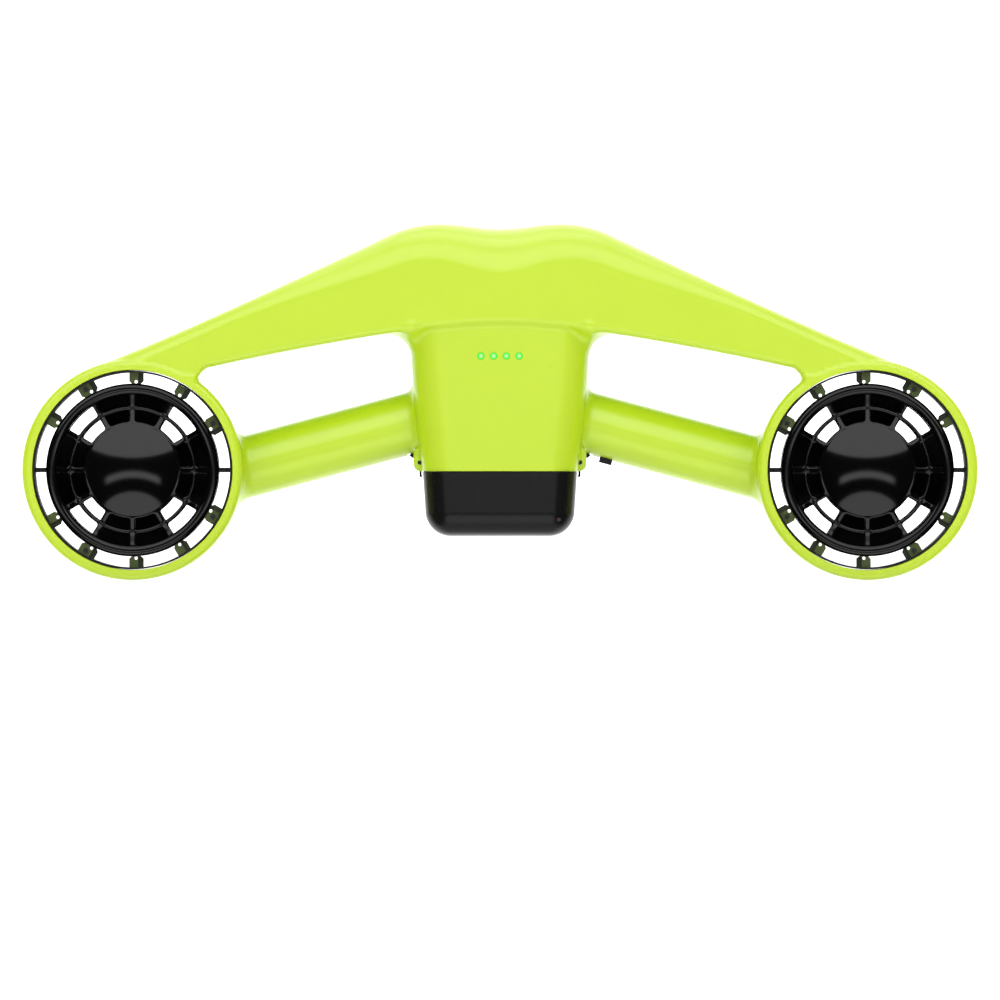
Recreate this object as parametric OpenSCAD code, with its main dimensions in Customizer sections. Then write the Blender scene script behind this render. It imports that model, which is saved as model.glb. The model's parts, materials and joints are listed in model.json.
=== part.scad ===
// Two-thruster underwater scooter. Millimetres, +Z up, +Y the way it travels.
// The origin is on the ground in the middle: the scooter stands on its two rings.

/* [Thrusters] */
// Distance from the middle of the scooter to each thruster's axis
thruster_x = 200; // [198:1:204]
// Outer radius of the rings
ring_r = 60; // [59:0.5:61]
// Length of the rings along the way of travel
ring_len = 92; // [92:1:98]
// Outer radius of the inner duct
duct_r = 47; // [46.5:0.1:47.2]
// Number of guard spokes
guard_spokes = 12; // [12]
// Number of propeller blades
blades = 4; // [3:1:5]

/* [Arch] */
// Height of the two crowns of the arch
crown_z = 194; // [190:1:198]
// How far the saddle between the crowns dips
saddle = 2.7; // [1:0.1:4]
// Half depth of the arch in the middle
arch_half_y = 42; // [41:0.5:43]

/* [Grips] */
// Radius of the grips
grip_r = 16.8; // [16:0.1:17.5]
// Fall of the grips towards the rings, in degrees
grip_tilt = 14.9; // [14:0.1:16]

/* [Battery] */
// Half width of the battery's tray at its rim
tray_half_x = 42.1; // [41.6:0.1:42.4]
// Height of the battery bay's mouth above the ground
mouth_z = 59.5; // [59:0.1:60]
// Height of the tray's underside above the ground
tray_z = 24; // [23:0.5:25]

/* [Hidden] */
$fn = 48;
lime = "#c8ef3c";
olive = "#56682c";
black = "#1b1b1d";
dark_grey = "#3a3a3e";
brass = "#c9a44c";
steel = "#b9bcc0";
copper = "#b8692f";
green = "#46e04a";
red = "#d02020";
blue = "#3f7fb5";
board = "#1f6b3a";

// Axis height, so that the rings stand on the ground
axis_z = ring_r;
ring_half = ring_len / 2;
bore_r = ring_r - 5.7;
liner_out = bore_r - 0.2;
liner_in = liner_out - 1;
wall = 3;

// Duct and motor, along the way of travel
duct_in = duct_r - 1.8;
duct_half = 36;
guard_back = 36.2;
pod_r = 24.6;
pod_wall = 1.7;
shaft_r = 2.5;
bearing_r = 5.5;
bearing_in = shaft_r + 0.05;
bearing_len = 4;
seal_r = 5;
stator_z = [-28, -16];
magnet_r = 11.6;
rotor_r = 9.4;
teeth = 12;
cover_z = -3.5;
strut_z = [-15, -4];
wire_r = 0.85;
wire_hole_r = 1;
wire_y = [-12.5, -9.5, -6.5];
screw_angles = [60, 150, 210, 300];
bracket_screw_r = 50.5;
bracket_screw_thick = 0.9;

// Battery and its bay
case_half = [34.7, 30.9];
case_corner = 4;
case_big_corner = 10;
case_chamfer = 5;
case_wall = 2;
case_z = [50, 102.5];
bay_gap = 0.4;
bay_wall = 0.9;
bay_top = 112;
bay_flange = [39, 33.6];
bay_flange_round = 13;
boss_top = 109.5;
plug_top = 118.5;
plug_half = [8, 5];
plug_gap = 0.6;
tray_top = mouth_z - 0.2;
tray_half_y = 36.8;
tray_round = 14;
tray_wall = 2.5;
cell_r = 9.15;
cell_pitch = 19;
cell_z = [29, 94];
holder_half = 28.6;
holder_len = 9;
contact_pitch = 3;
red_light_at = [32, 33];
red_light_r = 1.1;
board_z = 130;

// Latches
latch_pin = [43.6, 64];
latch_pin_r = 1.1;
latch_half_y = 10.5;
lug_half_y = 17;
lug_x = 47.1;
lug_top = 72.6;
latch_pocket_x = [39.6, 52];
latch_pocket_top = 73.5;
latch_gap = 0.5;

// Screws that join the two shells: distance from the middle, height, end of the boss
screw_spots = [[41, 122, 30.5], [40, 165, 41], [84, 152, 41.5], [122, 140, 43]];
screw_r = 1.4;
screw_head_r = 2.8;
screw_head_in = 4;
screw_tip_y = -11;
boss_r = 3.7;
light_x = [-10.4, -3.5, 3.5, 10.4];
light_z = 122;
light_r = 1.9;
mount_r = 2.55;
mount_depth = 8.7;
saddle_z = crown_z - saddle;

// ---------------------------------------------------------------- helpers

function bezier(a, b, c, t) = (1 - t) * (1 - t) * a + 2 * t * (1 - t) * b + t * t * c;
function smooth(t) = t * t * (3 - 2 * t);
function mix(a, b, t) = a + (b - a) * t;
function share(x, a, b) = min(1, max(0, (x - a) / (b - a)));
function arc(centre, r, a0, a1, n) =
    [for (i = [0 : n]) let (a = mix(a0, a1, i / n)) centre + r * [cos(a), sin(a)]];

// Draws its children, modelled for the right side, on the side asked for
module on_side(side) {
    if (side > 0) children();
    else mirror([1, 0, 0]) children();
}

module on_both_sides() {
    children();
    mirror([1, 0, 0]) children();
}

// The children's +Z is the way of travel, and their +X points away from the scooter's middle
module at_thruster(side) {
    on_side(side) translate([thruster_x, 0, axis_z]) rotate([-90, 0, 0]) children();
}

module at_thrusters() {
    at_thruster(1) children();
    at_thruster(-1) children();
}

module tube(r_out, r_in, z0, z1) {
    difference() {
        rod(r_out, z0, z1);
        rod(r_in, z0 - 1, z1 + 1);
    }
}

module rod(r, z0, z1) {
    translate([0, 0, z0]) cylinder(r = r, h = z1 - z0);
}

// Box between two corners
module block(a, b) {
    translate(a) cube(b - a);
}

// Box centred on the Z axis
module centred_block(half_x, half_y, z0, z1) {
    block([-half_x, -half_y, z0], [half_x, half_y, z1]);
}

module rounded_plate(half, r) {
    square([2 * half[0], 2 * (half[1] - r)], center = true);
    square([2 * (half[0] - r), 2 * half[1]], center = true);
    for (x = [-1, 1]) for (y = [-1, 1]) translate([x * (half[0] - r), y * (half[1] - r)]) circle(r);
}

// Rod along Y at a place in the XZ plane
module cross_rod(at, r, y0, y1) {
    translate([at[0], y0, at[1]]) rotate([-90, 0, 0]) cylinder(r = r, h = y1 - y0);
}

// Round wire through a list of places in the XZ plane, at one depth
module wire(places, y, r) {
    corners = 8;
    last = len(places) - 1;
    function heading(i) = let (run = places[min(last, i + 1)] - places[max(0, i - 1)]) run / norm(run);
    points = [for (i = [0 : last]) for (j = [0 : corners - 1])
        let (a = 360 * j / corners, out = [-heading(i)[1], heading(i)[0]] * r * cos(a))
        [places[i][0] + out[0], y + r * sin(a), places[i][1] + out[1]]];
    skin = [for (i = [0 : last - 1]) for (j = [0 : corners - 1])
        let (k = (j + 1) % corners)
        [i * corners + j, (i + 1) * corners + j, (i + 1) * corners + k, i * corners + k]];
    ends = [[for (j = [0 : corners - 1]) j],
            [for (j = [corners - 1 : -1 : 0]) last * corners + j]];
    polyhedron(points, concat(skin, ends));
}

// Coil spring that rises along Z
module coil(r, wire_thick, rise, turns) {
    steps = 14;
    corners = 6;
    last = turns * steps;
    points = [for (i = [0 : last]) for (j = [0 : corners - 1])
        let (a = 360 * i / steps, b = 360 * j / corners, reach = r + wire_thick / 2 * cos(b))
        [reach * cos(a), reach * sin(a), rise * i / last + wire_thick / 2 * sin(b)]];
    skin = [for (i = [0 : last - 1]) for (j = [0 : corners - 1])
        let (k = (j + 1) % corners)
        [i * corners + j, (i + 1) * corners + j, (i + 1) * corners + k, i * corners + k]];
    ends = [[for (j = [0 : corners - 1]) j],
            [for (j = [corners - 1 : -1 : 0]) last * corners + j]];
    polyhedron(points, concat(skin, ends));
}

// ---------------------------------------------------------------- outer form of the housing

crown_x = 33;
crown_turn = 25.5;
crown_round = 63;
ring_touch_angle = 68;
flank_start = [crown_x + crown_round * sin(crown_turn),
               crown_z - crown_round * (1 - cos(crown_turn))];
flank_knee = [thruster_x - 30, axis_z + 75.3];
flank_end = [thruster_x + (ring_r - 0.4) * cos(ring_touch_angle),
             axis_z + (ring_r - 0.4) * sin(ring_touch_angle)];
under_z = crown_z - 54;
under_knee_x = 47;
under_end = [thruster_x - 43, axis_z + 55.3];

// Parameter of a quadratic curve at a distance x
function curve_t(x, a, b, c) =
    let (p = a - 2 * b + c, q = 2 * (b - a), s = a - x)
    abs(p) < 0.001 ? -s / q : (-q + sqrt(max(0, q * q - 4 * p * s))) / (2 * p);

// Height of the arch's top at a distance x from the middle
function arch_top(x) =
    x <= crown_x ? crown_z - saddle * (1 + cos(180 * x / crown_x)) / 2 :
    x <= flank_start[0] ? crown_z - crown_round + sqrt(crown_round ^ 2 - (x - crown_x) ^ 2) :
    let (t = min(1, curve_t(x, flank_start[0], flank_knee[0], flank_end[0])))
    bezier(flank_start[1], flank_knee[1], flank_end[1], t);

// Height of the arch's underside; beyond its end it dips into the ring
function arch_under(x) =
    let (t = curve_t(min(x, under_end[0]), 0, under_knee_x, under_end[0]))
    bezier(under_z, under_z, under_end[1], t) - 20 * smooth(share(x, under_end[0], under_end[0] + 25));

function arch_half(x) = mix(arch_half_y, ring_half - 1.3, smooth(share(x, 60, 150)));
function arch_top_round(x) = mix(22, 8, smooth(share(x, 20, 150)));
under_round = 4;
slice = 0.5;

// Thin slice of the arch at x, drawn in by inset
module arch_slice(x, inset) {
    top = arch_top(x) - inset;
    under = arch_under(x) + inset;
    half = arch_half(x) - inset;
    r_top = max(1.5, arch_top_round(x) - inset);
    r_under = max(1.2, under_round - inset);
    translate([x, 0, 0]) rotate([90, 0, 90]) linear_extrude(slice) for (s = [-1, 1]) {
        translate([s * (half - r_top), top - r_top]) circle(r_top, $fn = 24);
        translate([s * (half - r_under), under + r_under]) circle(r_under, $fn = 12);
    }
}

module arch_run(stations, inset) {
    for (i = [0 : len(stations) - 2]) hull() {
        arch_slice(stations[i], inset);
        arch_slice(stations[i + 1], inset);
    }
}

arch_stations = concat([0, 12, 24, 36, 46, 58, 74, 94, 116],
                       [for (short = [62, 42, 24, 8, -6]) thruster_x - short], [flank_end[0]]);
hollow_stations = [0, 18, 34, 51, 66, 91, 117, thruster_x - 61];

function grip_z(x) = 84 - (x - 54.4) * tan(grip_tilt);
function grip_edge(x, s) = grip_z(x) + s * grip_r / cos(grip_tilt);

module grip_tube(r, x0, x1) {
    facets = 40;
    translate([x0, 0, grip_z(x0)]) rotate([0, 90 + grip_tilt, 0]) rotate(180 / facets)
        cylinder(r = r, h = (x1 - x0) / cos(grip_tilt), $fn = facets);
}

// Height, half width and half depth of the middle body
body_sections = [[mouth_z, 42.4, 36.8], [88, 45.6, 37.2], [108, 47.6, 37.6], [150, 50, 38.5]];
body_round = 16;
body_side = 47.8;

module body_slice(section, inset) {
    translate([0, 0, section[0]]) linear_extrude(slice) for (x = [-1, 1]) for (y = [-1, 1])
        translate([x * (section[1] - body_round), y * (section[2] - body_round)])
            circle(body_round - inset, $fn = 32);
}

module middle_body(inset) {
    for (i = [0 : len(body_sections) - 2]) hull() {
        body_slice(body_sections[i], inset);
        body_slice(body_sections[i + 1], inset);
    }
}

// Ring with rounded outer edges
module ring_form() {
    edge = 5;
    rotate_extrude($fn = 80) polygon(concat(
        [[bore_r - 0.5, -ring_half]],
        arc([ring_r - edge, -ring_half + edge], edge, -90, 0, 3),
        arc([ring_r - edge, ring_half - edge], edge, 0, 90, 3),
        [[bore_r - 0.5, ring_half]]));
}

// Sharp outline of one hand opening, between body, arch, ring and grip
module hand_opening() {
    far = thruster_x - 34;
    difference() {
        polygon(concat(
            [for (i = [0 : 14]) let (x = mix(body_side, far, i / 14)) [x, arch_under(x)]],
            [[far, grip_edge(far, 1)], [body_side, grip_edge(body_side, 1)]]));
        translate([thruster_x, axis_z]) circle(ring_r, $fn = 96);
    }
}

// Outline of the space below a grip
module below_grip() {
    far = thruster_x - 44;
    difference() {
        polygon([[45, 20], [45, grip_edge(45, -1)], [far, grip_edge(far, -1)], [far, 20]]);
        translate([thruster_x, axis_z]) circle(ring_r, $fn = 96);
    }
}

// Fills the sharp corner of an outline near a place with a fillet of radius r
module corner_fill(at, reach, r, half_y) {
    sunk = 0.3;
    rotate([90, 0, 0]) translate([0, 0, -half_y]) linear_extrude(2 * half_y) intersection() {
        translate(at) circle(reach);
        difference() {
            offset(delta = 1.5) children();
            offset(delta = sunk) offset(r = r, $fn = 24) offset(delta = -r) children();
        }
    }
}

module housing_form() {
    middle_body(0);
    on_both_sides() {
        arch_run(arch_stations, 0);
        grip_tube(grip_r, 30, thruster_x - 50);
        translate([thruster_x, 0, axis_z]) rotate([-90, 0, 0]) ring_form();
        corner_fill([body_side, grip_edge(body_side, 1)], 12, 5, 11) hand_opening();
        corner_fill([body_side, 133], 24, 15, 26) hand_opening();
        corner_fill([thruster_x - 58, axis_z + 20], 11, 4.5, 11) hand_opening();
        corner_fill([thruster_x - 38, axis_z + 55], 12, 5.5, 36) hand_opening();
        corner_fill([thruster_x - 57, axis_z - 19], 11, 4.5, 9) below_grip();
        for (y = [-1, 1]) scale([1, y, 1])
            block([40, latch_half_y + latch_gap, mouth_z], [lug_x, lug_half_y, lug_top]);
    }
}

module housing_hollow() {
    middle_body(wall);
    translate([0, 0, -2]) body_slice(body_sections[0], wall);
    on_both_sides() {
        arch_run(hollow_stations, wall);
        grip_tube(grip_r - wall, 38, thruster_x - 58.5);
    }
}

module screw_bosses() {
    on_both_sides() for (spot = screw_spots) cross_rod(spot, boss_r, -spot[2], spot[2]);
    rod(7, 178, saddle_z - 1);
}

// Everything that is cut into the finished shells
module housing_cuts() {
    on_both_sides() {
        translate([thruster_x, 0, axis_z]) rotate([-90, 0, 0])
            cylinder(r = bore_r, h = ring_len + 40, center = true, $fn = 80);
        block([latch_pocket_x[0], -latch_half_y - latch_gap, mouth_z - 2],
              [latch_pocket_x[1], latch_half_y + latch_gap, latch_pocket_top]);
        cross_rod(latch_pin, latch_pin_r + 0.15, -20, 20);
        block([thruster_x - 64, wire_y[0] - 1.5, axis_z - 1.2],
              [thruster_x - 50, wire_y[2] + 1.5, axis_z + 3.4]);
        for (spot = screw_spots) {
            cross_rod(spot, screw_r + 0.2, screw_tip_y - 1, spot[2]);
            cross_rod(spot, screw_head_r + 0.3, spot[2] - screw_head_in - 0.2, 60);
        }
    }
    translate([0, 0, mouth_z - 4]) linear_extrude(4) square(120, center = true);
    at_button() centred_block(3.8, 5.3, -22, -12);
    rod(4.2, saddle_z - mount_depth - 1.2, crown_z + 5);
    for (x = light_x) cross_rod([x, light_z], light_r + 0.2, -45, -30, $fn = 24);
}

module housing() {
    difference() {
        union() {
            difference() {
                housing_form();
                housing_hollow();
            }
            screw_bosses();
        }
        housing_cuts();
    }
}

module rear_shell() {
    color(lime) intersection() {
        housing();
        block([-300, -100, -10], [300, 0, 300]);
    }
}

module front_shell() {
    color(lime) intersection() {
        housing();
        block([-300, 0, -10], [300, 100, 300]);
    }
}

// Screws go in from the front shell
module shell_screws() {
    color(steel) on_both_sides() for (spot = screw_spots) {
        cross_rod(spot, screw_head_r, spot[2] - screw_head_in, spot[2] - screw_head_in + 2);
        cross_rod(spot, screw_r, screw_tip_y, spot[2] - screw_head_in);
    }
}

module camera_mount() {
    color(brass) difference() {
        rod(4, saddle_z - mount_depth - 1, saddle_z - 0.1);
        rod(mount_r, saddle_z - mount_depth - 0.1, saddle_z + 1);
    }
}

// ---------------------------------------------------------------- battery bay and electronics

// Plan of the battery's case, with one large round corner and one chamfered corner
module case_plan(grow) {
    h = case_half;
    polygon(concat(
        arc([h[0] - case_big_corner, -h[1] + case_big_corner], case_big_corner + grow, -90, 0, 8),
        arc([h[0] - case_corner, h[1] - case_corner], case_corner + grow, 0, 90, 4),
        [[-h[0] + case_chamfer, h[1] + grow], [-h[0] - grow, h[1] - case_chamfer]],
        arc([-h[0] + case_corner, -h[1] + case_corner], case_corner + grow, 180, 270, 4)));
}

module case_solid(grow, z0, z1) {
    translate([0, 0, z0]) linear_extrude(z1 - z0) case_plan(grow);
}

module battery_bay() {
    roof = 1.6;
    color(black) {
        difference() {
            union() {
                case_solid(bay_gap + bay_wall, mouth_z, bay_top);
                translate([0, 0, mouth_z]) linear_extrude(2) rounded_plate(bay_flange, bay_flange_round);
            }
            case_solid(bay_gap, mouth_z - 1, bay_top - roof);
            centred_block(plug_half[0] + plug_gap, plug_half[1] + plug_gap, bay_top - 3, bay_top + 1);
        }
        for (x = [-28, 28]) for (y = [-20, 20]) translate([x, y, 0]) rod(2.6, bay_top, board_z);
    }
}

module contact_blades(z0, z1) {
    for (i = [-2 : 2]) translate([i * contact_pitch, 0, 0]) centred_block(0.4, 1.5, z0, z1);
}

module power_socket() {
    color(dark_grey) difference() {
        centred_block(11, 8, bay_top, plug_top + 5);
        centred_block(plug_half[0] + plug_gap, plug_half[1] + plug_gap, bay_top - 1, plug_top + plug_gap);
        contact_blades(bay_top, board_z);
    }
}

module socket_pins() {
    color(brass) contact_blades(bay_top - 0.5, board_z);
}

module controller_board() {
    thick = 1.6;
    color(board) centred_block(32, 25, board_z, board_z + thick);
    color(black) for (x = [-22 : 11 : 22]) for (y = [-7, 7])
        translate([x, y, 0]) centred_block(3, 3.4, board_z + thick, board_z + 3.4);
    color(dark_grey) for (x = [-20, 0, 20]) translate([x, 19, 0]) rod(4, board_z + thick, 144);
}

module heat_sink() {
    base = board_z + 3.4;
    color(steel) {
        centred_block(27, 11, base, base + 2.5);
        for (y = [-10 : 4 : 10]) translate([0, y, 0]) centred_block(27, 0.7, base + 2.4, base + 10);
    }
}

module light_board() {
    color(board) block([-15, -33, 114], [15, -31.6, 129]);
}

module charge_lights() {
    face = mix(body_sections[2][2], body_sections[3][2], (light_z - 108) / 42);
    color(green) for (x = light_x) cross_rod([x, light_z], light_r, -face, -33);
}

// ---------------------------------------------------------------- thumb button

button_x = 62.1;

// Frame on the right grip's axis: +X runs down the grip and +Z points up out of it
module at_button() {
    translate([button_x, 0, grip_z(button_x)]) rotate([0, grip_tilt, 0]) children();
}

module thumb_button() {
    color(black) at_button() {
        centred_block(3.5, 5, -grip_r - 2.4, -12.2);
        centred_block(4.6, 5.9, -12.3, -11.2);
        tube(2, 1.5, -11.3, -9.2);
    }
}

module button_magnet() {
    color(steel) at_button() rod(1.45, -11.2, -9.4);
}

module button_spring() {
    color(steel) at_button() translate([0, 0, -10.9]) coil(3, 0.5, 4.6, 3);
}

module button_sensor() {
    color(board) at_button() {
        centred_block(6, 5.5, -6, -4.8);
        centred_block(2, 2, -4.9, -3.4);
    }
}

// ---------------------------------------------------------------- latches

module at_latch_pin() {
    translate([latch_pin[0], 0, latch_pin[1]]) rotate([-90, 0, 0]) children();
}

// Latch on the right side: a hook below its pin and a leaf-shaped finger tab above it
module latch(side) {
    barrel = 2.4;
    notch = 3.2;
    hook_half_y = 8;
    tab_half_y = 5;
    tab_reach = 49.3;
    color(black) on_side(side) {
        difference() {
            union() {
                at_latch_pin() rod(barrel, -latch_half_y, latch_half_y);
                block([42.7, -hook_half_y, 56.2], [43.9, hook_half_y, 64]);
                block([42.45, -hook_half_y, 56.2], [43, hook_half_y, 57.2]);
                block([42.6, -hook_half_y, 64], [45, hook_half_y, 70.5]);
                rotate([90, 0, 0]) translate([0, 0, -tab_half_y]) linear_extrude(2 * tab_half_y)
                    polygon([[44.5, 69.8], [44.5, 66.4], [47.7, 66.6], [tab_reach, 67.8], [48.6, 69.1]]);
            }
            at_latch_pin() rod(latch_pin_r + 0.05, -12, 12);
            block([40.5, -notch, 61], [47, notch, 67]);
        }
    }
}

module latch_pins() {
    color(steel) on_both_sides() at_latch_pin() rod(latch_pin_r, -lug_half_y + 0.3, lug_half_y - 0.3);
}

module latch_springs() {
    color(steel) on_both_sides() at_latch_pin() translate([0, 0, -2.4]) coil(1.7, 0.5, 4.8, 3);
}

// ---------------------------------------------------------------- battery

// Outer or inner form of the tray, drawn in by inset
module tray_form(inset) {
    far = 120;
    intersection() {
        rotate([90, 0, 0]) translate([0, 0, -far / 2]) linear_extrude(far)
            tray_profile(tray_half_x, tray_half_x - 1.4, inset);
        rotate([90, 0, 90]) translate([0, 0, -far / 2]) linear_extrude(far)
            tray_profile(tray_half_y, tray_half_y - 1.2, inset);
        linear_extrude(far) polygon([for (q = [[1, 1], [-1, 1], [-1, -1], [1, -1]])
            each arc([q[0] * (tray_half_x - tray_round), q[1] * (tray_half_y - tray_round)],
                     tray_round - inset, atan2(q[1], q[0]) - 45, atan2(q[1], q[0]) + 45, 8)]);
    }
}

// The tray seen from one side: half width at the rim and where its bottom rounding starts
module tray_profile(rim, waist, inset) {
    mid = tray_z + tray_round;
    polygon(concat(
        [[-rim + inset, tray_top], [-waist + inset, mid]],
        arc([-waist + tray_round, mid], tray_round - inset, 180, 270, 8),
        arc([waist - tray_round, mid], tray_round - inset, 270, 360, 8),
        [[rim - inset, tray_top]]));
}

module battery_tray() {
    rim_thick = 2.6;
    color(dark_grey) difference() {
        tray_form(0);
        intersection() {
            tray_form(tray_wall);
            block([-60, -60, 0], [60, 60, tray_top - rim_thick]);
        }
        case_solid(0, tray_top - 6, tray_top + 1);
        on_both_sides() block([40.6, -9.5, 53.6], [44, 9.5, 57.4]);
        cross_rod(red_light_at, red_light_r, -tray_half_y - 1, -tray_half_y + 5);
    }
}

module battery_case() {
    boss = [20, 15];
    color(black) difference() {
        union() {
            case_solid(0, case_z[0], case_z[1]);
            centred_block(boss[0], boss[1], case_z[1] - 1, case_z[1] + 3.5);
            centred_block(boss[0] - 3, boss[1] - 3, case_z[1] - 1, boss_top);
        }
        case_solid(-case_wall, case_z[0] - 1, case_z[1] - case_wall);
        difference() {
            case_solid(1, 64, 66);
            case_solid(-0.8, 63, 67);
        }
    }
}

module battery_seal() {
    color(dark_grey) difference() {
        case_solid(0.3, 64, 66);
        case_solid(-0.8, 63, 67);
    }
}

module each_cell() {
    for (x = [-1 : 1]) for (y = [-1 : 1]) translate([x * cell_pitch, y * cell_pitch, 0]) children();
}

module battery_cells() {
    color(blue) each_cell() rod(cell_r, cell_z[0], cell_z[1]);
}

module cell_holders() {
    color(dark_grey) difference() {
        union() {
            intersection() {
                centred_block(holder_half, holder_half, 0, cell_z[0] + holder_len);
                tray_form(tray_wall + 0.1);
            }
            intersection() {
                centred_block(holder_half, holder_half, cell_z[1] - holder_len, cell_z[1] + 2);
                case_solid(-case_wall - 0.1, case_z[0], case_z[1]);
            }
        }
        each_cell() rod(cell_r, cell_z[0], cell_z[1]);
    }
}

module battery_monitor() {
    color(board) block([holder_half, -20, 36], [holder_half + 1.6, 20, 90]);
}

module battery_plug() {
    color(black) difference() {
        centred_block(plug_half[0], plug_half[1], boss_top, plug_top);
        for (i = [-2 : 2]) translate([i * contact_pitch, 0, 0])
            centred_block(1.1, 2.2, boss_top + 1, plug_top + 1);
    }
}

module plug_contacts() {
    color(brass) for (i = [-2 : 2]) translate([i * contact_pitch, 0, 0])
        block([0.7, -2, boss_top + 1], [1.1, 2, plug_top - 0.6]);
}

module battery_light() {
    color(red) cross_rod(red_light_at, red_light_r, -tray_half_y + 0.5, -tray_half_y + 2.9);
}

// ---------------------------------------------------------------- thrusters

module liner() {
    color(black) difference() {
        tube(liner_out, liner_in, -ring_half + 1, ring_half - 1);
        wire_holes(-liner_out - 1, -liner_in + 2);
    }
}

module wire_holes(x0, x1) {
    for (z = wire_y) translate([x0, 0, z]) rotate([0, 90, 0]) cylinder(r = wire_hole_r, h = x1 - x0);
}

// Inner duct with a fin on each side and, towards the scooter's middle, the strut to the motor
module duct() {
    fin = 1.25;
    color(black) difference() {
        union() {
            tube(duct_r, duct_in, -duct_half, duct_half);
            block([duct_r - 0.6, -fin, -duct_half], [liner_in - 0.1, fin, duct_half]);
            block([-liner_in + 0.1, -fin, -duct_half], [-duct_r + 0.6, fin, duct_half]);
            block([-duct_in - 0.6, -2, strut_z[0]], [-pod_r - 0.1, 2, strut_z[1]]);
        }
        wire_holes(-60, -20);
    }
}

bracket_z = [-40, -28];

// Ten brackets that hold the duct in its ring; the wide ones take a screw
module duct_brackets() {
    color(olive) difference() {
        intersection() {
            tube(liner_in - 0.05, duct_r + 0.05, -duct_half - 10, duct_half);
            for (i = [1 : 11]) if (i != 6) rotate(30 * i) scale([1, i < 6 ? 1 : -1, 1])
                bracket(len(search(30 * i, screw_angles)) > 0 ? 3.9 : 1.5);
        }
        each_bracket_screw() rod(bracket_screw_thick, bracket_z[0] - 1, bracket_z[1] + 1);
    }
}

module bracket(reach) {
    near = duct_r - 3;
    far = liner_in + 3;
    block([near, -reach, bracket_z[0]], [far, 3.2, bracket_z[1]]);
    block([near, 3.1, bracket_z[0] + 3], [far, 6.3, bracket_z[1]]);
}

module each_bracket_screw() {
    for (a = screw_angles) rotate(a) translate([bracket_screw_r, 0, 0]) children();
}

module bracket_screws() {
    color(steel) at_thrusters() each_bracket_screw() {
        rod(1.5 * bracket_screw_thick, bracket_z[0] - 1.2, bracket_z[0]);
        rod(bracket_screw_thick, bracket_z[0] - 0.1, bracket_z[1] - 2);
    }
}

hub_r = 25;
valley_r = 33.7;
cell_rim_r = 41.6;
rim_z = 43.2;

// Height of the guard's outer face at a distance r from its middle
function guard_face(r) =
    r <= hub_r ? 44.6 - 65 + sqrt(65 * 65 - r * r) :
    r <= valley_r ? mix(39.6, 37.4, smooth(share(r, hub_r, valley_r))) :
    mix(37.4, 41, smooth(share(r, valley_r, cell_rim_r)));

// Guard with its outer face towards +Z
module guard() {
    thick = 2.8;
    spoke = 3.1;
    rim_round = 2;
    color(black) difference() {
        rotate_extrude($fn = 72) polygon(concat(
            [[0, guard_back], [hub_r, guard_back], [valley_r, 37.4 - thick],
             [cell_rim_r, guard_back], [duct_r, guard_back]],
            arc([duct_r - rim_round, rim_z - rim_round], rim_round, 0, 90, 5),
            [for (r = [cell_rim_r : -2 : hub_r]) [r, guard_face(r)]],
            [for (r = [24 : -3 : 0]) [r, guard_face(r)]]));
        translate([0, 0, 30]) linear_extrude(20) difference() {
            union() {
                ring_plan(cell_rim_r, valley_r + 1);
                ring_plan(valley_r - 1, hub_r + 1.5);
            }
            for (i = [0 : guard_spokes - 1]) rotate(360 * i / guard_spokes)
                translate([20, -spoke / 2]) square([30, spoke]);
        }
    }
}

module ring_plan(r_out, r_in) {
    difference() {
        circle(r_out, $fn = 72);
        circle(r_in, $fn = 72);
    }
}

module motor_housing() {
    color(dark_grey) difference() {
        union() {
            tube(pod_r, pod_r - pod_wall, -guard_back + 0.1, 0);
            rod(pod_r - 0.5, -guard_back + 0.1, -33);
            rod(bearing_r + 2, -33.5, -29);
        }
        rod(bearing_r, -33, -28);
        wire_holes(-30, -20);
    }
}

module motor_cover() {
    color(dark_grey) difference() {
        union() {
            rod(pod_r - pod_wall, cover_z, 0);
            rod(bearing_r + 2, cover_z - bearing_len, 0);
        }
        rod(bearing_r, cover_z - bearing_len - 1, cover_z);
        rod(seal_r, cover_z - 1, 1);
    }
}

module motor_bearings() {
    color(steel) at_thrusters() for (z = [-33, cover_z - bearing_len])
        tube(bearing_r, bearing_in, z, z + bearing_len);
}

module shaft_seals() {
    color(black) at_thrusters() tube(seal_r, bearing_in, cover_z, -0.3);
}

module each_tooth() {
    for (i = [0 : teeth - 1]) rotate(360 * i / teeth) children();
}

module motor_stator() {
    color(steel) {
        tube(pod_r - pod_wall, 20, stator_z[0], stator_z[1]);
        each_tooth() block([13.4, -1.4, stator_z[0]], [20.3, 1.4, stator_z[1]]);
        each_tooth() block([12.4, -2.4, stator_z[0]], [13.5, 2.4, stator_z[1]]);
    }
}

module motor_windings() {
    color(copper) at_thrusters() difference() {
        each_tooth() block([14, -2.4, stator_z[0] - 2], [19.2, 2.4, stator_z[1] + 2]);
        each_tooth() block([13, -1.4, stator_z[0]], [21, 1.4, stator_z[1]]);
    }
}

cable_bend_x = thruster_x - 59;
cable_places = [[thruster_x - 17, axis_z], [cable_bend_x, axis_z],
                [43.4, axis_z + (cable_bend_x - 43.4) * tan(grip_tilt)],
                [41, 90], [41, 112.9], [34.5, 118], [30.5, board_z - 0.9]];

module motor_cable() {
    color(black) for (y = wire_y) wire(cable_places, y, wire_r);
}

module rotor_core() {
    color(steel) tube(rotor_r, shaft_r, stator_z[0], stator_z[1]);
}

module rotor_magnets() {
    poles = 10;
    color(dark_grey) difference() {
        tube(magnet_r, rotor_r, stator_z[0], stator_z[1]);
        for (i = [0 : poles - 1]) rotate(360 * i / poles)
            block([rotor_r - 2, -0.5, stator_z[0] - 1], [magnet_r + 2, 0.5, stator_z[1] + 1]);
    }
}

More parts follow.
